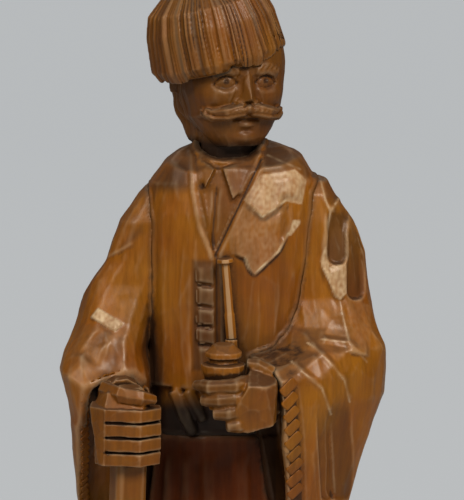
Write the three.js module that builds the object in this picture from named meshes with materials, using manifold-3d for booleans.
// A carved wooden folk figure: a man in a shaggy cap, waistcoat and wide hanging sleeves, who leans on a
// stick and holds a lidded pipe. It is glued up from carved blocks on dowels and screwed to a plinth.
// Millimetres, +Z up. The figure faces -Y, its right hand is on the -X side, and the floor is z = 0.
import * as THREE from "three";
import { ConvexGeometry } from "three/addons/geometries/ConvexGeometry.js";
import { mergeVertices } from "three/addons/utils/BufferGeometryUtils.js";
import Module from "manifold-3d";

// Fits between pieces
const GLUE_GAP = 0.3;
const DOWEL_GAP = 0.2;
const STICK_CLEARANCE = 0.3;

// Plinth
const BASE_THICKNESS = 18;
const BASE_MARGIN = 9;
const BASE_CORNER = 20;
const BASE_BEVEL = 3;

// Boots
const BOOT_HEIGHT = 38;
const BOOT_SPREAD = 17;
const BOOT_SHAFT_WIDTH = 22;
const BOOT_SHAFT_DEPTH = 24;
const FOOT_LENGTH = 48;
const FOOT_WIDTH = 19;
const FOOT_HEIGHT = 15;
const HEEL_HEIGHT = 5;

// Pleated trousers
const TROUSER_LENGTH = 100;
const HEM_WIDTH = 72;
const HEM_DEPTH = 52;
const WAIST_WIDTH = 52;
const WAIST_DEPTH = 35;
const WAISTBAND_HEIGHT = 5;
const PLEAT_COUNT = 22;
const PLEAT_DEPTH = 1.7;
const LEG_SPLIT_HEIGHT = 42;
const LEG_SPLIT_WIDTH = 9;

// Torso in its waistcoat
const TORSO_HEIGHT = 84;
const VEST_HEM_RISE = 16;
const CHEST_WIDTH = 54;
const CHEST_DEPTH = 39;
const SHIRT_WAIST_INSET = 1.5;
const SASH_WIDTH = 5.6;
const NECKLINE_DEPTH = 1.6;
const NECKLINE_DROP = 25;
const BUTTON_COUNT = 4;
const BUTTON_PITCH = 6.5;
const BUTTON_SIZE = 5;
const BUTTON_RELIEF = 0.6;
const COLLAR_HEIGHT = 10.5;
const COLLAR_THICKNESS = 3;

// Head and cap
const NECK_RADIUS = 9.5;
const CHIN_RISE = 10;
const HEAD_HEIGHT = 44;
const HEAD_WIDTH = 34.5;
const HEAD_DEPTH = 37;
const HEAD_TURN = 18;
const NOSE_REACH = 4.5;
const CAP_HEIGHT = 29;
const CAP_WIDTH = 44.5;
const CAP_ROUND_HEAD_DEPTH = 37;
const CAP_RIM_RISE = 25;
const CAP_TILT = 14;
const CAP_SHIFT = 3;
const LOCK_COUNT = 38;
const LOCK_DEPTH = 1.2;

// Wide sleeves
const SLEEVE_LENGTH = 128;
const SLEEVE_WALL = 2.4;
const RIGHT_ELBOW_REACH = 26.5;
const LEFT_ELBOW_REACH = 25;
const SLEEVE_MOUTH_DEPTH = 14;
const FOREARM_FORWARD = 7;
const ARM_SETBACK = 19.5;

// Hands
const WRIST_RADIUS = 6.6;
const FINGER_RADIUS = 2.75;
const FINGER_PITCH = 4.7;
const RIGHT_HAND_STANDOFF = 16.5;
const LEFT_HAND_STANDOFF = 12.5;

// Stick
const STICK_WIDTH = 11;
const STICK_FOOT_WIDTH = 9;
const STICK_TILT = 2;
const STICK_TOP_RISE = 11;
const STICK_SOCKET_DEPTH = 3;

// Pipe
const PIPE_BOWL_RADIUS = 6.6;
const PIPE_BOWL_HEIGHT = 14.5;
const PIPE_LID_RADIUS = 5.8;
const PIPE_LID_HEIGHT = 7;
const PIPE_STEM_RADIUS = 1.55;
const PIPE_STEM_LENGTH = 26;
const PIPE_SHANK_RADIUS = 2.1;

// Dowels and screws
const LARGE_DOWEL_RADIUS = 3;
const LARGE_DOWEL_LENGTH = 26;
const SMALL_DOWEL_RADIUS = 1.8;
const SMALL_DOWEL_LENGTH = 16;
const SHOULDER_DOWEL_LENGTH = 11;
const SHOULDER_DOWEL_DROP = 24;
const SHOULDER_DOWEL_SPACING = 16;
const WAIST_DOWEL_SPACING = 22;
const SCREW_RADIUS = 2;
const SCREW_LENGTH = 32;
const SCREW_HEAD_RADIUS = 4;
const SCREW_HEAD_HEIGHT = 2.6;

// Levels and places worked out from the sizes above
const hemLevel = BASE_THICKNESS + BOOT_HEIGHT;
const waistLevel = hemLevel + TROUSER_LENGTH;
const neckLevel = waistLevel + TORSO_HEIGHT;
const vestHemLevel = waistLevel + VEST_HEM_RISE;
const shoulderLevel = neckLevel + 3;
const chestFront = -CHEST_DEPTH / 2;
const armLine = chestFront + ARM_SETBACK;
const neckShift = 1.5;
const BIG = 400;

const wasm = await Module();
wasm.setup();

const UP = new THREE.Vector3(0, 0, 1);
const radians = THREE.MathUtils.degToRad;
const vec = (x, y, z) => new THREE.Vector3(x, y, z);
const mix = THREE.MathUtils.lerp;

// A closed solid from a geometry, with shared vertices merged
function solidOf(geometry) {
  const bare = geometry.clone();
  bare.deleteAttribute("normal");
  bare.deleteAttribute("uv");
  const merged = mergeVertices(bare, 1e-4);
  const made = new wasm.Manifold(
    new wasm.Mesh({
      numProp: 3,
      vertProperties: merged.attributes.position.array,
      triVerts: new Uint32Array(merged.index.array),
    }),
  );
  return made;
}

function geometryOf(solid) {
  const mesh = solid.getMesh();
  const geometry = new THREE.BufferGeometry();
  geometry.setAttribute("position", new THREE.BufferAttribute(mesh.vertProperties, 3));
  geometry.setIndex(new THREE.BufferAttribute(mesh.triVerts, 1));
  return geometry;
}

// A closed skin over rings of equal point count, turned round if its faces point inwards
function loft(rings) {
  const sides = rings[0].length;
  const points = rings.flat();
  const triangles = [];
  for (let i = 0; i + 1 < rings.length; i++) {
    for (let j = 0; j < sides; j++) {
      const k = (j + 1) % sides;
      const [a, b, c, d] = [i * sides + j, i * sides + k, (i + 1) * sides + k, (i + 1) * sides + j];
      triangles.push([a, b, c], [a, c, d]);
    }
  }
  for (const end of [0, rings.length - 1]) {
    const middle = rings[end].reduce((sum, p) => sum.add(p), vec(0, 0, 0)).divideScalar(sides);
    const hub = points.push(middle) - 1;
    for (let j = 0; j < sides; j++) {
      const [a, b] = [end * sides + j, end * sides + ((j + 1) % sides)];
      triangles.push(end === 0 ? [hub, b, a] : [hub, a, b]);
    }
  }
  const volume = triangles.reduce(
    (sum, [a, b, c]) => sum + points[a].dot(points[b].clone().cross(points[c])),
    0,
  );
  const facing = volume < 0 ? triangles.map(([a, b, c]) => [a, c, b]) : triangles;
  const geometry = new THREE.BufferGeometry().setFromPoints(points);
  geometry.setIndex(facing.flat());
  return solidOf(geometry);
}

// A level ring of a rounded-box outline: half sizes along its own two axes, turned about Z
function ring(centre, halfWidth, halfDepth, { turn = 0, boxy = 2.4, sides = 20 } = {}) {
  const points = [];
  for (let j = 0; j < sides; j++) {
    const angle = (2 * Math.PI * (j + 0.5)) / sides;
    const [c, s] = [Math.cos(angle), Math.sin(angle)];
    const x = halfWidth * Math.sign(c) * Math.abs(c) ** (2 / boxy);
    const y = halfDepth * Math.sign(s) * Math.abs(s) ** (2 / boxy);
    points.push(vec(x, y, 0).applyAxisAngle(UP, radians(turn)).add(centre));
  }
  return points;
}

// A round bar along a path, with its own radius at each point
function tube(path, radii, sides = 8) {
  let across = null;
  const rings = path.map((point, i) => {
    const along = path[Math.min(i + 1, path.length - 1)].clone();
    along.sub(path[Math.max(i - 1, 0)]).normalize();
    across ??= Math.abs(along.z) < 0.9 ? UP.clone() : vec(0, 1, 0);
    across = across.clone().projectOnPlane(along).normalize();
    const other = along.clone().cross(across);
    return Array.from({ length: sides }, (_, j) => {
      const angle = (2 * Math.PI * (j + 0.5)) / sides;
      return point
        .clone()
        .addScaledVector(across, radii[i] * Math.cos(angle))
        .addScaledVector(other, radii[i] * Math.sin(angle));
    });
  });
  return loft(rings);
}

const rod = (from, to, radius, sides = 16) => tube([from, to], [radius, radius], sides);
const hull = (points) => solidOf(new ConvexGeometry(points));
const join = (...solids) => solids.reduce((sum, s) => sum.add(s));
const cutBy = (solid, ...tools) => tools.reduce((left, tool) => left.subtract(tool), solid);

const moved = (solid, matrix) => solidOf(geometryOf(solid).applyMatrix4(matrix));

// A box between two corners
function block(low, high) {
  const corners = [low.x, high.x].flatMap((x) =>
    [low.y, high.y].flatMap((y) => [low.z, high.z].map((z) => vec(x, y, z))),
  );
  return hull(corners);
}

// Everything on the far side of a plane, as a very large block
function halfSpace(point, normal) {
  const box = new THREE.BoxGeometry(BIG, BIG, BIG).translate(0, 0, BIG / 2);
  const turn = new THREE.Quaternion().setFromUnitVectors(UP, normal.clone().normalize());
  return solidOf(box.applyQuaternion(turn).translate(point.x, point.y, point.z));
}

// A dowel centred on a point, and the hole that takes it
function dowel(centre, direction, radius, length, gap = 0) {
  const half = direction.clone().normalize().multiplyScalar(length / 2 + gap);
  return rod(centre.clone().sub(half), centre.clone().add(half), radius + gap, 12);
}

// The wood and steel of the figure
const wood = (color, roughness) => new THREE.MeshStandardMaterial({ color, roughness, metalness: 0 });
const carvedWood = wood(0x8a5a2c, 0.45);
const stickWood = wood(0x9a642d, 0.45);
const plinthWood = wood(0x5c3a1e, 0.5);
const dowelWood = wood(0xc9a36b, 0.7);
const screwSteel = new THREE.MeshStandardMaterial({ color: 0xa8a8aa, roughness: 0.35, metalness: 1 });

const figure = new THREE.Group();
const standing = new THREE.Group();
figure.add(standing);

function addPiece(parent, name, solid, material) {
  const mesh = new THREE.Mesh(geometryOf(solid), material);
  mesh.name = name;
  parent.add(mesh);
  return mesh;
}

// Torso: share of the waistcoat's height, of the chest's width and depth, and a sideways sway in mm
const TORSO_OUTLINE = [
  [0, 0.93, 0.95, -0.5],
  [0.18, 0.93, 0.96, -0.5],
  [0.41, 0.96, 1, 0],
  [0.64, 1, 1, 1],
  [0.83, 1.03, 0.95, 2],
  [0.97, 1.02, 0.85, 2.5],
  [1.06, 0.84, 0.75, 2.5],
  [1.12, 0.58, 0.64, 2],
  [1.15, 0.4, 0.56, 1.5],
];
const TORSO_BOXY = 3;
const vestHeight = neckLevel - vestHemLevel;
const vestLevel = (share) => vestHemLevel + share * vestHeight;

function torsoForm(grow = 0) {
  const shirtHalf = [WAIST_WIDTH / 2 - SHIRT_WAIST_INSET, WAIST_DEPTH / 2 - SHIRT_WAIST_INSET];
  const rows = [
    [waistLevel, ...shirtHalf, 0],
    [vestHemLevel - 1, ...shirtHalf, 0],
    ...TORSO_OUTLINE.map(([h, w, d, sway]) => [
      vestLevel(h),
      (w * CHEST_WIDTH) / 2,
      (d * CHEST_DEPTH) / 2,
      sway,
    ]),
  ];
  const options = { boxy: TORSO_BOXY, sides: 28 };
  return loft(rows.map(([z, a, b, x]) => ring(vec(x, 0, z), a + grow, b + grow, options)));
}

// How far forward the waistcoat reaches at a place on its front
function vestFrontAt(x, z) {
  const share = (z - vestHemLevel) / vestHeight;
  const above = Math.max(1, TORSO_OUTLINE.findIndex(([h]) => h > share));
  const [low, high] = [TORSO_OUTLINE[above - 1], TORSO_OUTLINE[above]];
  const t = (share - low[0]) / (high[0] - low[0]);
  const [, w, d, sway] = low.map((value, i) => mix(value, high[i], t));
  const across = Math.min(1, Math.abs(x - sway) / ((w * CHEST_WIDTH) / 2));
  return (-d * CHEST_DEPTH * (1 - across ** TORSO_BOXY) ** (1 / TORSO_BOXY)) / 2;
}

// A flat shape in X and Z pushed back from the front, to cut or to stand on the chest
function frontShape(outline, front, back) {
  return hull(outline.flatMap(([x, z]) => [vec(x, front, z), vec(x, back, z)]));
}

const necklineLow = neckLevel - NECKLINE_DROP;
const placketShift = -4;

function collarWing(side) {
  const throat = vestFrontAt(neckShift, neckLevel - 2);
  const inner = neckShift - 3.5 + side * 1.2;
  const outline = [
    [inner, throat + 0.5, 3],
    [inner + side * 3.2, throat - 1.6, -5 - side * 1.7],
    [neckShift + side * 10.5, throat + 3, 2.5],
    [neckShift + side * 10.2, throat + 7, 6.5],
  ];
  return hull(
    outline.flatMap(([x, y, rise]) => [
      vec(x, y, neckLevel + rise),
      vec(x, y + COLLAR_THICKNESS, neckLevel + rise),
    ]),
  );
}

// The standing part of the shirt collar, all round the neck
function collarBand() {
  const rows = [
    [-6, 2.2],
    [COLLAR_HEIGHT * 0.5, 3.2],
    [COLLAR_HEIGHT * 1.1, 1.8],
  ];
  return loft(
    rows.map(([rise, wall]) => {
      const radius = NECK_RADIUS + GLUE_GAP + wall;
      return ring(vec(neckShift, 0, neckLevel + rise), radius, radius, { boxy: 2, sides: 20 });
    }),
  );
}

function buttons() {
  return Array.from({ length: BUTTON_COUNT }, (_, i) => {
    const [x, z] = [placketShift - 2.5, necklineLow - 6 - i * BUTTON_PITCH];
    const front = vestFrontAt(x, z) - BUTTON_RELIEF;
    const half = BUTTON_SIZE / 2;
    return block(vec(x - half, front, z - half), vec(x + half, front + 3, z + half));
  });
}

// How far forward the shirt reaches at the waist
function shirtFrontAt(x) {
  const [a, b] = [WAIST_WIDTH / 2 - SHIRT_WAIST_INSET, WAIST_DEPTH / 2 - SHIRT_WAIST_INSET];
  return -b * (1 - Math.abs(x / a) ** TORSO_BOXY) ** (1 / TORSO_BOXY);
}

// The two ends of the knotted sash that hang below the waistcoat: side shares, width and length shares
function sashEnds() {
  return [
    [-0.64, -0.4, 1, 1],
    [-0.46, -0.27, 0.82, 0.72],
  ].map(([top, foot, wide, long]) => {
    const radius = (wide * SASH_WIDTH) / 2;
    const at = (t) => {
      const x = (mix(top, foot, t) * WAIST_WIDTH) / 2;
      return vec(x, shirtFrontAt(x) - radius * 0.35, vestHemLevel - 1 - t * long * (VEST_HEM_RISE - 2));
    };
    return tube([at(0), at(0.6), at(1)], [radius, radius, radius * 0.6], 6);
  });
}

const neckCentre = vec(neckShift, 0, neckLevel);

// The head's own frame stands on the neck seat, turned to the figure's left
const head = new THREE.Group();
head.position.copy(neckCentre);
head.rotation.z = radians(HEAD_TURN);
head.updateMatrix();
standing.add(head);

function torsoBody() {
  const neckline = frontShape(
    [
      [placketShift, necklineLow],
      [neckShift - 12, neckLevel + COLLAR_HEIGHT],
      [neckShift + 11, neckLevel + COLLAR_HEIGHT],
    ],
    chestFront * 2,
    0,
  );
  const recess = neckline.subtract(torsoForm(-NECKLINE_DEPTH));
  const collarRim = vec(0, chestFront * 0.62, neckLevel + COLLAR_HEIGHT * 0.3);
  const shirtRim = collarRim.clone().setZ(neckLevel + COLLAR_HEIGHT * 0.5);
  const collar = collarBand().subtract(halfSpace(shirtRim, vec(0, -0.42, 1)));
  const cut = cutBy(torsoForm(), recess, halfSpace(collarRim, vec(0, -0.5, 1)));
  const socket = rod(neckCentre, neckCentre.clone().setZ(BIG), NECK_RADIUS + GLUE_GAP, 24);
  const raised = [collar, collarWing(-1), collarWing(1), ...buttons(), ...sashEnds()];
  return cutBy(join(cut, ...raised), socket, moved(headForm(GLUE_GAP), head.matrix));
}

// Sleeves: share of the sleeve's length from the top, outward, forward, half sizes and turn about Z.
// Outward counts from the side of the chest, in shares of the elbow's reach.
const RIGHT_SLEEVE = [
  [0.023, -0.26, 0, 0.09, 6, 0],
  [0.07, -0.21, 0, 0.23, 9, 0],
  [0.14, -0.11, 0, 0.39, 12.5, 0],
  [0.195, -0.03, 0.05, 0.43, 12.5, 0],
  [0.24, 0.04, 0.1, 0.43, 12.5, 0],
  [0.295, 0.18, 0.18, 0.46, 13, 0],
  [0.33, 0.26, 0.25, 0.46, 14, 0],
  [0.39, 0.35, 0.5, 0.46, 15.5, 0],
  [0.46, 0.46, 1, 0.5, 18, 0],
  [0.51, 0.47, 1.4, 0.54, 22, 0],
  [0.58, 0.41, 1.5, 0.52, 22, 0],
  [0.68, 0.38, 1.5, 0.49, 21, 0],
  [0.83, 0.38, 1.5, 0.45, 18, 0],
  [0.96, 0.38, 1.5, 0.36, 14, 0],
  [1, 0.38, 1.5, 0.19, 9, 0],
];
const LEFT_SLEEVE = [
  [0.035, 0.02, 0, 0.23, 8, 0],
  [0.07, 0.04, 0, 0.31, 11, 0],
  [0.14, 0.09, 0, 0.49, 12.5, 0],
  [0.22, 0.2, 0.05, 0.56, 12.5, 2],
  [0.33, 0.24, 0.2, 0.58, 13, 6],
  [0.4, 0.25, 0.65, 0.64, 13.5, 16],
  [0.455, 0.23, 1.4, 0.78, 14, 25],
  [0.51, -0.13, 2.5, 1.24, 14, 28],
  [0.58, -0.15, 2.65, 1.25, 13.5, 28],
  [0.7, -0.17, 2.6, 1.02, 12, 28],
  [0.83, -0.18, 2.6, 0.84, 9.5, 28],
  [0.95, -0.14, 2.55, 0.6, 7, 28],
  [1, -0.1, 2.5, 0.34, 4, 28],
];
const SLEEVES = {
  right: { side: -1, reach: RIGHT_ELBOW_REACH, outline: RIGHT_SLEEVE, boxy: 2.7 },
  left: { side: 1, reach: LEFT_ELBOW_REACH, outline: LEFT_SLEEVE, boxy: 2.3 },
};

function sleeveForm({ side, reach, outline, boxy }, grow = 0) {
  const rings = outline.map(([drop, outward, forward, half, depth, turn]) => {
    const x = side * (CHEST_WIDTH / 2 + outward * reach);
    const y = armLine - forward * FOREARM_FORWARD;
    const z = shoulderLevel - drop * SLEEVE_LENGTH - (drop === 1 ? grow : 0);
    return ring(vec(x, y, z), half * reach + grow, depth + grow, { turn, boxy, sides: 18 });
  });
  return loft(rings);
}

// Where each wrist is seated inside its sleeve, and the way the sleeve's mouth faces
const wristLevel = shoulderLevel - 0.55 * SLEEVE_LENGTH;
const mouths = {
  right: {
    seat: vec(
      -CHEST_WIDTH / 2 - 0.36 * RIGHT_ELBOW_REACH,
      armLine - 1.3 * FOREARM_FORWARD,
      wristLevel,
    ),
    facing: vec(0.42, -0.88, -0.22).normalize(),
  },
  left: {
    seat: vec(
      CHEST_WIDTH / 2 - 0.1 * LEFT_ELBOW_REACH,
      armLine - 2.45 * FOREARM_FORWARD,
      wristLevel,
    ),
    facing: vec(-0.87, -0.46, -0.13).normalize(),
  },
};

function shoulderDowels(sleeve, gap = 0) {
  return [0, 1].map((i) => {
    const z = shoulderLevel - SHOULDER_DOWEL_DROP - i * SHOULDER_DOWEL_SPACING;
    const centre = vec(sleeve.side * (CHEST_WIDTH / 2), armLine, z);
    return dowel(centre, vec(1, 0, 0), SMALL_DOWEL_RADIUS, SHOULDER_DOWEL_LENGTH, gap);
  });
}

const wristDowel = (mouth, gap = 0) =>
  dowel(mouth.seat, mouth.facing, SMALL_DOWEL_RADIUS, SMALL_DOWEL_LENGTH, gap);

// The sleeve's block with its mouth hollowed out; grown, it is the space a hand must keep out of
function sleeveShell(name, grow = 0) {
  const [sleeve, mouth] = [SLEEVES[name], mouths[name]];
  const along = (distance) => mouth.seat.clone().addScaledVector(mouth.facing, distance + grow);
  const outer = sleeveForm(sleeve, grow).subtract(halfSpace(along(SLEEVE_MOUTH_DEPTH), mouth.facing));
  const hollow = sleeveForm(sleeve, -SLEEVE_WALL - grow).intersect(halfSpace(along(0), mouth.facing));
  const side = GLUE_GAP + SLEEVE_WALL + grow;
  return outer.subtract(cutBy(hollow, torsoForm(side), trousersForm(side)));
}

function sleeveBody(name) {
  const holes = [...shoulderDowels(SLEEVES[name], DOWEL_GAP), wristDowel(mouths[name], DOWEL_GAP)];
  return cutBy(sleeveShell(name), torsoForm(GLUE_GAP), trousersForm(GLUE_GAP), ...holes);
}

// Right hand and stick share one frame, whose Z axis is the stick's own axis
const fist = new THREE.Group();
fist.position.set(
  mouths.right.seat.x + 6.4,
  chestFront - RIGHT_HAND_STANDOFF,
  wristLevel - 9,
);
fist.rotation.y = radians(STICK_TILT);
fist.updateMatrix();
standing.add(fist);
const inFist = (point) => point.clone().applyMatrix4(fist.matrix.clone().invert());
const fistMatrix = fist.matrix;

const stickFootLevel = (BASE_THICKNESS - STICK_SOCKET_DEPTH - fist.position.z) / Math.cos(fist.rotation.y);

function stickForm(top, foot, grow = 0) {
  const options = { turn: 20, boxy: 5, sides: 8 };
  const widthAt = (z) => mix(STICK_WIDTH, STICK_FOOT_WIDTH, (z - STICK_TOP_RISE) / (foot - STICK_TOP_RISE));
  const rings = [foot, top].map((z) => {
    const half = widthAt(z) / 2 + grow;
    return ring(vec(0, 0, z), half, half, options);
  });
  return loft(rings);
}

function walkingStick() {
  const tip = ring(vec(0, 0, STICK_TOP_RISE + 2), STICK_WIDTH * 0.32, STICK_WIDTH * 0.32, {
    turn: 20,
    boxy: 5,
    sides: 8,
  });
  const shaft = stickForm(STICK_TOP_RISE, stickFootLevel);
  const rounded = hull([
    ...tip,
    ...ring(vec(0, 0, STICK_TOP_RISE - 1), STICK_WIDTH / 2, STICK_WIDTH / 2, {
      turn: 20,
      boxy: 5,
      sides: 8,
    }),
  ]);
  return join(shaft, rounded);
}

function rightHand() {
  const wrap = STICK_WIDTH / 2 + STICK_CLEARANCE + FINGER_RADIUS * 0.7;
  const fingers = [1.5, 0.5, -0.5, -1.5].map((row) => {
    const z = (row - 0.4) * FINGER_PITCH;
    const path = [
      vec(-wrap - 0.3 * FINGER_PITCH, 0.8 * FINGER_PITCH, z),
      vec(-wrap - 0.1 * FINGER_PITCH, -wrap + 0.24 * FINGER_PITCH, z),
      vec(-wrap + 0.24 * FINGER_PITCH, -wrap, z),
      vec(wrap - 0.9 * FINGER_PITCH, -wrap - 0.12 * FINGER_PITCH, z),
      vec(wrap + 0.12 * FINGER_PITCH, -wrap + 0.8 * FINGER_PITCH, z),
      vec(wrap + 0.08 * FINGER_PITCH, 0.6 * FINGER_PITCH, z),
    ];
    const r = FINGER_RADIUS;
    return tube(path, [r, r, r, r, r, r * 0.7], 4);
  });
  // Places on the fist: from its left or right side, its front or the stick's axis, in finger pitches
  const p = FINGER_PITCH;
  const [left, right, front] = [-wrap, wrap, -wrap];
  const back = hull([
    vec(left - 0.72 * p, -0.6 * p, 1.4 * p),
    vec(left - 0.68 * p, 0.8 * p, 1.4 * p),
    vec(left - 0.52 * p, -0.8 * p, -0.6 * p),
    vec(left - 0.48 * p, 0.8 * p, -0.6 * p),
    vec(left + 0.12 * p, front + 0.32 * p, -2.5 * p),
    vec(left + 0.12 * p, 0.6 * p, -2.5 * p),
    vec(left + 0.2 * p, front + 0.32 * p, 2.5 * p),
    vec(left + 0.4 * p, p, 2.8 * p),
    vec(left - 0.4 * p, 0.8 * p, 2.2 * p),
    vec(right - 0.4 * p, front + 0.32 * p, 2.6 * p),
    vec(right - 0.5 * p, p, 2.5 * p),
    vec(right - 0.2 * p, p, 1.6 * p),
    vec(right - 0.2 * p, p, -1.8 * p),
    vec(right - 0.3 * p, -0.8 * p, 1.8 * p),
    vec(left, front - 0.18 * p, 1.5 * p),
    vec(right - 0.72 * p, front - 0.18 * p, 1.5 * p),
    vec(left, front - 0.1 * p, -2.2 * p),
    vec(right - 1.12 * p, front - 0.06 * p, -2.2 * p),
    vec(left, 1.8 * p, 1.8 * p),
    vec(0.8 * p, 1.8 * p, 1.8 * p),
    vec(left + 0.12 * p, 1.6 * p, -1.6 * p),
    vec(0.6 * p, 1.6 * p, -1.6 * p),
  ]);
  const seat = inFist(mouths.right.seat.clone().addScaledVector(mouths.right.facing, -GLUE_GAP));
  const wrist = tube(
    [seat, vec(-0.7 * p, 1.4 * p, 1.5 * p), vec(-0.6 * p, 0, 0.8 * p)],
    [WRIST_RADIUS, WRIST_RADIUS * 1.1, WRIST_RADIUS],
    12,
  );
  const thumb = tube(
    [
      vec(left, 0.4 * p, 2.4 * p),
      vec(-0.5 * p, front + 0.12 * p, 2.48 * p),
      vec(0.8 * p, front + 0.08 * p, 2.28 * p),
      vec(right, front + 0.8 * p, 2.04 * p),
    ],
    [FINGER_RADIUS * 1.1, FINGER_RADIUS * 1.03, FINGER_RADIUS * 0.97, FINGER_RADIUS * 0.62],
    6,
  );
  const bore = stickForm(STICK_TOP_RISE + 20, stickFootLevel, STICK_CLEARANCE);
  const keepOut = join(sleeveShell("right", GLUE_GAP), wristDowel(mouths.right, DOWEL_GAP));
  return cutBy(join(back, wrist, thumb, ...fingers), bore, moved(keepOut, fistMatrix.clone().invert()));
}

// Pipe: the lidded bowl stands upright in the left hand and its stem lies on the waistcoat
const bowlCentre = vec(neckShift - 2, chestFront - LEFT_HAND_STANDOFF, wristLevel - 4.3);

function pipeBowl() {
  const [r, h] = [PIPE_BOWL_RADIUS, PIPE_BOWL_HEIGHT];
  const profile = [
    [0, 0],
    [r * 0.7, 0],
    [r * 0.86, h * 0.35],
    [r * 0.95, h * 0.7],
    [r * 1.07, h * 0.86],
    [r * 1.07, h],
    [r * 0.68, h + 0.6],
    [r * 0.68, h + 1.8],
    [PIPE_LID_RADIUS, h + 2.2],
    [PIPE_LID_RADIUS, h + 3.8],
    [PIPE_LID_RADIUS * 0.55, h + PIPE_LID_HEIGHT - 0.6],
    [0, h + PIPE_LID_HEIGHT],
  ].map(([x, y]) => new THREE.Vector2(x, y));
  const turned = new THREE.LatheGeometry(profile, 16).rotateX(Math.PI / 2);
  const bowl = solidOf(turned.translate(bowlCentre.x, bowlCentre.y, bowlCentre.z));
  const [foot, bend, mouth] = shankPath();
  return join(bowl, tube([foot, bend, mouth], [1.8, PIPE_SHANK_RADIUS, PIPE_SHANK_RADIUS]));
}

// The shank leaves the back of the bowl and turns up along the chest
function shankPath() {
  const x = bowlCentre.x + 2.5;
  const chestAt = (z) => vestFrontAt(x, z) - PIPE_SHANK_RADIUS - GLUE_GAP * 2 - BUTTON_RELIEF;
  const [low, top] = [bowlCentre.z + PIPE_BOWL_HEIGHT * 0.4, bowlCentre.z + PIPE_BOWL_HEIGHT + 6];
  return [
    vec(x - 1, bowlCentre.y + 2, low),
    vec(x, mix(bowlCentre.y, chestAt(low), 0.9), low + 4),
    vec(x, chestAt(top), top),
  ];
}

function pipeStem() {
  const [, bend, mouth] = shankPath();
  const along = mouth.clone().sub(bend).normalize();
  const start = mouth.clone().addScaledVector(along, GLUE_GAP);
  const top = start.z + PIPE_STEM_LENGTH;
  const x = start.x - 2;
  const r = PIPE_STEM_RADIUS;
  const end = vec(x, vestFrontAt(x, top) - r * 1.8 - GLUE_GAP * 2, top);
  const at = (t) => start.clone().lerp(end, t);
  return tube(
    [start, at(0.3), at(0.34), at(0.94), at(0.95), at(1)],
    [r * 1.15, r * 1.15, r, r * 0.9, r * 1.8, r * 1.7],
  );
}

function leftHand() {
  const mouth = mouths.left;
  const seat = mouth.seat.clone().addScaledVector(mouth.facing, GLUE_GAP);
  const knuckle = seat.clone().addScaledVector(mouth.facing, SLEEVE_MOUTH_DEPTH * 1.15);
  const b = bowlCentre;
  const wrap = PIPE_BOWL_RADIUS + GLUE_GAP + FINGER_RADIUS * 0.8;
  const palmFront = b.y - wrap - FINGER_RADIUS * 0.7;
  const top = b.z + PIPE_BOWL_HEIGHT;
  // Places beside the bowl: right of the finger wrap and below the bowl's top, in finger pitches
  const at = (right, y, down) => vec(b.x + wrap + right * FINGER_PITCH, y, top - down * FINGER_PITCH);
  const inFront = (pitches) => palmFront + pitches * FINGER_PITCH;
  const behind = (pitches) => b.y + pitches * FINGER_PITCH;
  const wrist = tube(
    [seat, knuckle, at(0.8, behind(-0.2), 2.2)],
    [WRIST_RADIUS, WRIST_RADIUS, WRIST_RADIUS * 1.15],
    12,
  );
  const palm = hull([
    at(1.8, behind(1), 0.6),
    at(1.8, behind(0.6), 4),
    at(1.6, inFront(1.1), 1.1),
    at(1.4, inFront(1), 4),
    at(0.9, inFront(0.35), 1.25),
    at(-0.3, palmFront, 1.1),
    at(-1.1, inFront(0.1), 2.6),
    at(-1.6, inFront(0.4), 3.9),
    at(-0.4, inFront(0.5), 4.4),
    at(-0.2, behind(-0.8), 0.3),
    at(-0.2, behind(1.2), 0.4),
    at(-0.2, behind(1.2), 3.4),
  ]);
  const fingers = [0, 1, 2, 3].map((i) => {
    const z = top - FINGER_PITCH * (1.1 + i * 0.86);
    const end = -165 + i * 27;
    const path = [0, 0.3, 0.65, 1].map((t) => {
      const angle = radians(mix(-25, end, t));
      return vec(b.x + wrap * Math.cos(angle), b.y + wrap * Math.sin(angle), z - t * FINGER_PITCH * 0.24);
    });
    return tube(path, [FINGER_RADIUS, FINGER_RADIUS, FINGER_RADIUS * 0.95, FINGER_RADIUS * 0.6], 8);
  });
  const thumb = tube(
    [at(1.2, behind(0.2), 0.8), at(0.2, b.y, 0.1), at(-0.44, b.y, 0)],
    [FINGER_RADIUS * 1.17, FINGER_RADIUS * 1.03, FINGER_RADIUS * 0.62],
    8,
  );
  const bowlSpace = new THREE.CylinderGeometry(1, 1, BIG, 20).rotateX(Math.PI / 2);
  const radius = PIPE_BOWL_RADIUS * 1.07 + GLUE_GAP;
  bowlSpace.scale(radius, radius, 1).translate(b.x, b.y, b.z - GLUE_GAP + BIG / 2);
  const body = join(wrist, palm, thumb, ...fingers);
  const keepOut = [torsoForm(GLUE_GAP), sleeveShell("left", GLUE_GAP), wristDowel(mouth, DOWEL_GAP)];
  return cutBy(body, solidOf(bowlSpace), ...keepOut);
}

// Head: share of the head's height, width and depth, and how far it sits forward in shares of the depth
const HEAD_OUTLINE = [
  [0, 0.4, 0.34, 0.22],
  [0.07, 0.6, 0.56, 0.15],
  [0.2, 0.84, 0.82, 0.06],
  [0.4, 0.96, 0.95, 0.02],
  [0.6, 1, 1, 0],
  [0.8, 0.95, 0.96, -0.01],
  [0.92, 0.72, 0.73, -0.01],
  [1, 0.3, 0.32, -0.01],
];
const faceLevel = (share) => CHIN_RISE + share * HEAD_HEIGHT;

function headForm(grow = 0) {
  const rings = HEAD_OUTLINE.map(([h, w, d, forward]) => {
    const centre = vec(0, -forward * HEAD_DEPTH, faceLevel(h));
    return ring(centre, (w * HEAD_WIDTH) / 2 + grow, (d * HEAD_DEPTH) / 2 + grow, { sides: 22 });
  });
  return loft(rings);
}

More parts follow.
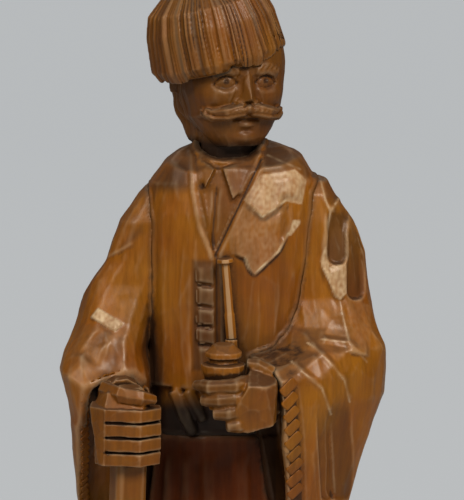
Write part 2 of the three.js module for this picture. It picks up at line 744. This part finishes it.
function ear(side, grow = 0) {
  const root = HEAD_WIDTH / 2 - 2;
  const outline = [
    [root, 3 - grow, 0.33],
    [root, 7 + grow, 0.6],
    [root, -grow, 0.58],
    [root + 3.6 + grow, 5, 0.38],
    [root + 4.4 + grow, 7 + grow, 0.57],
    [root + 3.2 + grow, 2 - grow, 0.55],
  ];
  return hull(outline.map(([x, y, share]) => vec(side * x, y, faceLevel(share) + grow)));
}

const crownDowelCentre = vec(0, 0, faceLevel(1));

function headBody() {
  const face = -HEAD_DEPTH / 2;
  const half = HEAD_WIDTH / 2;
  const neck = rod(vec(0, 0, 0), vec(0, 0, faceLevel(0.3)), NECK_RADIUS, 20);
  const nose = hull([
    vec(0, face, faceLevel(0.56)),
    vec(-2, face + 2, faceLevel(0.56)),
    vec(2, face + 2, faceLevel(0.56)),
    vec(0, face - NOSE_REACH, faceLevel(0.35)),
    vec(-3.2, face + 1, faceLevel(0.31)),
    vec(3.2, face + 1, faceLevel(0.31)),
    vec(0, face + 3, faceLevel(0.3)),
  ]);
  const features = [-1, 1].flatMap((side) => [
    tube(
      [
        vec(side * 0.5, face - 0.3, faceLevel(0.275)),
        vec(side * half * 0.4, face + 0.4, faceLevel(0.25)),
        vec(side * half * 0.62, face + 3.6, faceLevel(0.23)),
        vec(side * half * 0.8, face + 7, faceLevel(0.27)),
      ],
      [1.9, 2.3, 1.7, 0.6],
      7,
    ),
    ear(side),
  ]);
  // Full hair behind the ears, down to the nape: half width, how far back, and rise
  const hair = hull(
    [
      [15.6, 3, 27],
      [16.6, 11, 27],
      [13, 16, 27],
      [15.2, 10.5, 19],
      [13.7, 10, 16],
      [11.4, 8, 11.6],
      [8, 14, 12.6],
    ].flatMap(([x, y, z]) => [vec(-x, y, z), vec(x, y, z)]),
  );
  const dowelHoles = [
    dowel(vec(0, 0, 0), UP, LARGE_DOWEL_RADIUS, LARGE_DOWEL_LENGTH, DOWEL_GAP),
    dowel(crownDowelCentre, UP, SMALL_DOWEL_RADIUS, SMALL_DOWEL_LENGTH, DOWEL_GAP),
  ];
  return cutBy(join(headForm(), neck, nose, hair, ...features), ...dowelHoles);
}

// Shaggy cap: share of its height, of its width and of the locks' depth, tilted over the right ear
const CAP_OUTLINE = [
  [0, 0.93, 0.3],
  [0.1, 1, 1],
  [0.5, 0.95, 1],
  [0.72, 0.86, 1],
  [0.88, 0.62, 0.8],
  [1, 0.22, 0.3],
];
const lockShares = Array.from({ length: LOCK_COUNT }, (_, i) => 1 + 0.4 * Math.sin(2.4 * i));
const lockTotal = lockShares.reduce((sum, share) => sum + share, 0);

// The cap is round on a head of CAP_ROUND_HEAD_DEPTH, and follows a deeper or shallower head
const capDepthShare = HEAD_DEPTH / CAP_ROUND_HEAD_DEPTH;

// A ring of the cap: uneven upright locks of wool with a V cut between each two. The cuts run out
// towards the left ear, where the tilted cap is thin.
function lockRing(z, half, strength) {
  let start = 0;
  return lockShares.flatMap((share, i) => {
    const begin = (2 * Math.PI * start) / lockTotal;
    const deep = LOCK_DEPTH * strength * (1 - 0.85 * Math.max(0, Math.cos(begin)));
    const cut = deep * (1 + 0.45 * Math.sin(3.7 * i));
    const proud = 0.3 * deep * Math.sin(1.9 * i);
    const corners = [
      [0, half - cut],
      [0.3, half + proud],
      [0.75, half + 0.6 * proud],
    ];
    const span = (2 * Math.PI * share) / lockTotal;
    start += share;
    return corners.map(([t, radius]) => {
      const angle = begin + t * span;
      return vec(radius * Math.cos(angle), radius * Math.sin(angle) * capDepthShare, z);
    });
  });
}

function capBody() {
  const tilt = new THREE.Matrix4().makeRotationY(radians(-CAP_TILT));
  tilt.setPosition(-CAP_SHIFT, 0, CHIN_RISE + CAP_RIM_RISE);
  const rings = CAP_OUTLINE.map(([h, w, strength]) =>
    lockRing(h * CAP_HEIGHT, (w * CAP_WIDTH) / 2, strength).map((p) => p.applyMatrix4(tilt)),
  );
  const hole = dowel(crownDowelCentre, UP, SMALL_DOWEL_RADIUS, SMALL_DOWEL_LENGTH, DOWEL_GAP);
  const face = -HEAD_DEPTH / 2;
  const browHalf = HEAD_WIDTH * 0.19;
  const brow = block(vec(-browHalf, face - NOSE_REACH, 0), vec(browHalf, face, faceLevel(0.58)));
  return cutBy(loft(rings), headForm(GLUE_GAP), ear(-1, GLUE_GAP), ear(1, GLUE_GAP), brow, hole);
}

// Trousers: share of their length from the hem, and how far they are from hem size to waist size
const TROUSER_OUTLINE = [
  [0, 0],
  [0.14, 0.03],
  [0.4, 0.3],
  [0.7, 0.66],
  [0.9, 0.9],
];
const waistDowelAt = (side) => vec((side * WAIST_DOWEL_SPACING) / 2, 0, waistLevel);
const legDowelAt = (side) => vec(side * BOOT_SPREAD, 0, hemLevel);

function trousersForm(grow = 0) {
  const sides = PLEAT_COUNT * 4;
  const halfAt = (hem, waist, narrowing) => mix(hem, waist, narrowing) / 2 + grow;
  const pleated = TROUSER_OUTLINE.map(([share, narrowing]) => {
    const z = hemLevel + share * TROUSER_LENGTH;
    const half = [halfAt(HEM_WIDTH, WAIST_WIDTH, narrowing), halfAt(HEM_DEPTH, WAIST_DEPTH, narrowing)];
    const depth = grow ? 0 : PLEAT_DEPTH * (1 - 0.75 * share);
    return ring(vec(0, 0, z), ...half, { sides }).map((p, j) => {
      const wave = Math.cos((2 * Math.PI * PLEAT_COUNT * (j + 0.5)) / sides);
      const out = vec(p.x, p.y, 0).normalize();
      return p.addScaledVector(out, depth * (wave - 1));
    });
  });
  const band = [waistLevel - WAISTBAND_HEIGHT, waistLevel].map((z) =>
    ring(vec(0, 0, z), WAIST_WIDTH / 2 + grow, WAIST_DEPTH / 2 + grow, { sides }),
  );
  return loft([...pleated, ...band]);
}

function trousersBody() {
  const split = hull(
    [-BIG, BIG].flatMap((y) => [
      vec(-LEG_SPLIT_WIDTH / 2, y, hemLevel - 1),
      vec(LEG_SPLIT_WIDTH / 2, y, hemLevel - 1),
      vec(0, y, hemLevel + LEG_SPLIT_HEIGHT),
    ]),
  );
  const holes = [-1, 1].flatMap((side) => [
    dowel(waistDowelAt(side), UP, LARGE_DOWEL_RADIUS, LARGE_DOWEL_LENGTH, DOWEL_GAP),
    dowel(legDowelAt(side), UP, LARGE_DOWEL_RADIUS, LARGE_DOWEL_LENGTH, DOWEL_GAP),
  ]);
  return cutBy(trousersForm(), split, ...holes);
}

// Boots: a straight shaft over a foot that points forward
const heelBack = BOOT_SHAFT_DEPTH / 2 + 2;
const FOOT_OUTLINE = [
  [0, 0.72, 0.9],
  [0.1, 0.86, 1],
  [0.45, 0.86, 1],
  [0.7, 1, 0.72],
  [0.9, 0.84, 0.5],
  [1, 0.4, 0.3],
];

function bootBody(side) {
  const x = side * BOOT_SPREAD;
  const floor = BASE_THICKNESS;
  const foot = loft(
    FOOT_OUTLINE.map(([along, wide, tall]) => {
      const y = heelBack - along * FOOT_LENGTH;
      const half = (wide * FOOT_WIDTH) / 2;
      const top = floor + tall * FOOT_HEIGHT;
      return [
        vec(x - half, y, floor),
        vec(x + half, y, floor),
        vec(x + half, y, mix(floor, top, 0.55)),
        vec(x + half * 0.5, y, top),
        vec(x - half * 0.5, y, top),
        vec(x - half, y, mix(floor, top, 0.55)),
      ];
    }),
  );
  const shaft = loft(
    [
      [0.1, 0.78],
      [0.4, 0.76],
      [0.75, 0.95],
      [1, 1],
    ].map(([share, wide]) =>
      ring(
        vec(x, 0, mix(floor, hemLevel, share)),
        (wide * BOOT_SHAFT_WIDTH) / 2,
        (wide * BOOT_SHAFT_DEPTH) / 2,
        { sides: 16 },
      ),
    ),
  );
  const instep = block(
    vec(x - FOOT_WIDTH, heelBack - FOOT_LENGTH * 0.56, floor - 1),
    vec(x + FOOT_WIDTH, heelBack - FOOT_LENGTH * 0.32, floor + HEEL_HEIGHT * 0.4),
  );
  const holes = [
    dowel(legDowelAt(side), UP, LARGE_DOWEL_RADIUS, LARGE_DOWEL_LENGTH, DOWEL_GAP),
    screwForm(side, DOWEL_GAP),
  ];
  return cutBy(join(foot, shaft), instep, ...holes);
}

// Countersunk screw driven up through the plinth into a boot
function screwForm(side, gap = 0) {
  const axis = (z) => vec(side * BOOT_SPREAD, 0, z);
  const r = SCREW_RADIUS + gap;
  const head = SCREW_HEAD_RADIUS + gap;
  return tube(
    [axis(1 - gap), axis(1.4), axis(1 + SCREW_HEAD_HEIGHT), axis(SCREW_LENGTH - 5), axis(SCREW_LENGTH + gap)],
    [head, head, r, r, gap ? r : r * 0.3],
    12,
  );
}

// Plinth: a bevelled board, large enough for the boots and the foot of the stick
const stickFoot = vec(0, 0, stickFootLevel).applyMatrix4(fistMatrix);
const basePlan = {
  halfWidth: Math.abs(stickFoot.x) + STICK_WIDTH / 2 + BASE_MARGIN,
  front: Math.min(stickFoot.y - STICK_WIDTH / 2, heelBack - FOOT_LENGTH) - BASE_MARGIN,
  back: heelBack + BASE_MARGIN,
};

function baseBody() {
  const outline = (inset, z) => {
    const [x, front, back] = [basePlan.halfWidth - inset, basePlan.front + inset, basePlan.back - inset];
    const c = BASE_CORNER;
    return [
      vec(-x + c, front, z),
      vec(x - c, front, z),
      vec(x, front + c, z),
      vec(x, back - c, z),
      vec(x - c, back, z),
      vec(-x + c, back, z),
      vec(-x, back - c, z),
      vec(-x, front + c, z),
    ];
  };
  const board = loft([
    outline(0, 0),
    outline(0, BASE_THICKNESS - BASE_BEVEL),
    outline(BASE_BEVEL, BASE_THICKNESS),
  ]);
  const socket = moved(stickForm(STICK_TOP_RISE, stickFootLevel - STICK_CLEARANCE, STICK_CLEARANCE), fistMatrix);
  const countersinks = [-1, 1].map((side) =>
    join(
      screwForm(side, DOWEL_GAP),
      rod(
        vec(side * BOOT_SPREAD, 0, -1),
        vec(side * BOOT_SPREAD, 0, 1),
        SCREW_HEAD_RADIUS + DOWEL_GAP,
        12,
      ),
    ),
  );
  return cutBy(board, socket, ...countersinks);
}

// Assembly. Dowel holes in the torso are cut once every dowel's place is known.
const torsoHoles = [
  dowel(neckCentre, UP, LARGE_DOWEL_RADIUS, LARGE_DOWEL_LENGTH, DOWEL_GAP),
  ...[-1, 1].map((side) => dowel(waistDowelAt(side), UP, LARGE_DOWEL_RADIUS, LARGE_DOWEL_LENGTH, DOWEL_GAP)),
  ...Object.values(SLEEVES).flatMap((sleeve) => shoulderDowels(sleeve, DOWEL_GAP)),
];
addPiece(standing, "base", baseBody(), plinthWood);
addPiece(standing, "trousers", trousersBody(), carvedWood);
addPiece(standing, "torso", cutBy(torsoBody(), ...torsoHoles), carvedWood);
addPiece(head, "head", headBody(), carvedWood);
addPiece(head, "cap", capBody(), carvedWood);
addPiece(head, "cap_dowel", dowel(crownDowelCentre, UP, SMALL_DOWEL_RADIUS, SMALL_DOWEL_LENGTH), dowelWood);
addPiece(
  standing,
  "neck_dowel",
  dowel(neckCentre, UP, LARGE_DOWEL_RADIUS, LARGE_DOWEL_LENGTH),
  dowelWood,
);
for (const [name, sleeve] of Object.entries(SLEEVES)) {
  const side = sleeve.side;
  addPiece(standing, `${name}_sleeve`, sleeveBody(name), carvedWood);
  shoulderDowels(sleeve).forEach((solid, i) =>
    addPiece(standing, `${name}_shoulder_dowel_${i + 1}`, solid, dowelWood),
  );
  addPiece(standing, `${name}_wrist_dowel`, wristDowel(mouths[name]), dowelWood);
  addPiece(standing, `${name}_boot`, bootBody(side), carvedWood);
  const large = [LARGE_DOWEL_RADIUS, LARGE_DOWEL_LENGTH];
  addPiece(standing, `${name}_waist_dowel`, dowel(waistDowelAt(side), UP, ...large), dowelWood);
  addPiece(standing, `${name}_leg_dowel`, dowel(legDowelAt(side), UP, ...large), dowelWood);
  addPiece(standing, `${name}_base_screw`, screwForm(side), screwSteel);
}
addPiece(fist, "right_hand", rightHand(), carvedWood);
addPiece(fist, "walking_stick", walkingStick(), stickWood);
addPiece(standing, "left_hand", leftHand(), carvedWood);
addPiece(standing, "pipe_bowl", pipeBowl(), carvedWood);
addPiece(standing, "pipe_stem", pipeStem(), stickWood);

// The plinth is centred on the origin
standing.position.y = -(basePlan.front + basePlan.back) / 2;

export default figure;
